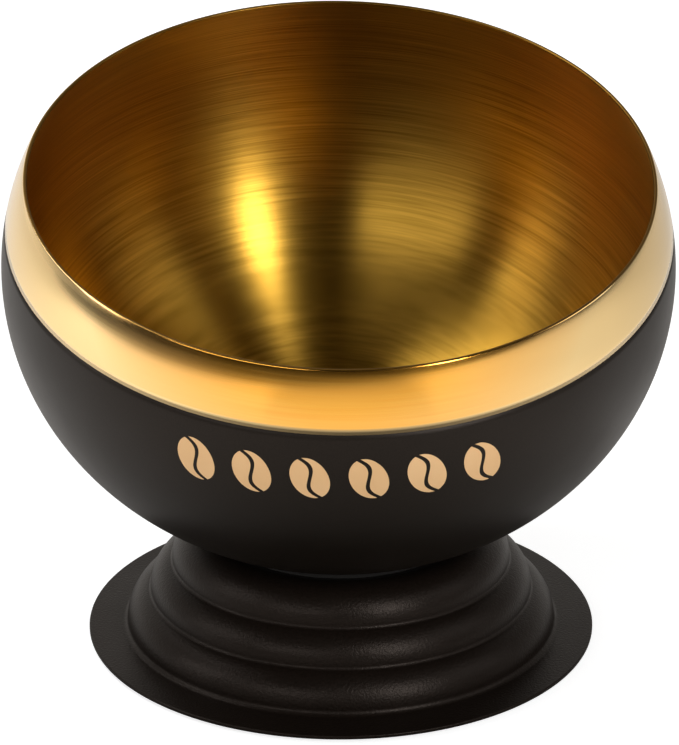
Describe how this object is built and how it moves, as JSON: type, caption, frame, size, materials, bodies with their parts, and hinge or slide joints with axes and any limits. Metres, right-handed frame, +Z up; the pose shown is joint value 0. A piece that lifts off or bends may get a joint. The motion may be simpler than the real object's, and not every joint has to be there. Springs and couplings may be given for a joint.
{
  "type": "coffee pod bowl",
  "caption": "Open spun-metal bowl that leans towards the user on a round stepped pedestal, for holding loose coffee pods on a counter.",
  "frame": {"origin": "centre of the round foot, on the surface that it stands on", "axes": "+Z up along the pedestal's axis, -Y towards the user, the side that the bowl's mouth leans to, +X to the user's right"},
  "size_m": [0.17, 0.1675, 0.1512],
  "materials": {
    "bowl_metal": "gold-coloured brushed sheet inside and at the rim band, satin black coat outside below the band",
    "black_coat": "fine satin black powder coat",
    "fastener_steel": "bright zinc-plated",
    "gasket_rubber": "matte black rubber sheet",
    "pad_foam": "matte black anti-slip foam"
  },
  "bodies": {
    "root": {"bowl_shell": "bowl_metal", "pedestal": "black_coat", "seat_gasket": "gasket_rubber", "bowl_stud": "fastener_steel", "plain_washer": "fastener_steel", "spring_washer": "fastener_steel", "hex_nut": "fastener_steel", "base_pad": "pad_foam"}
  },
  "joints": []
}
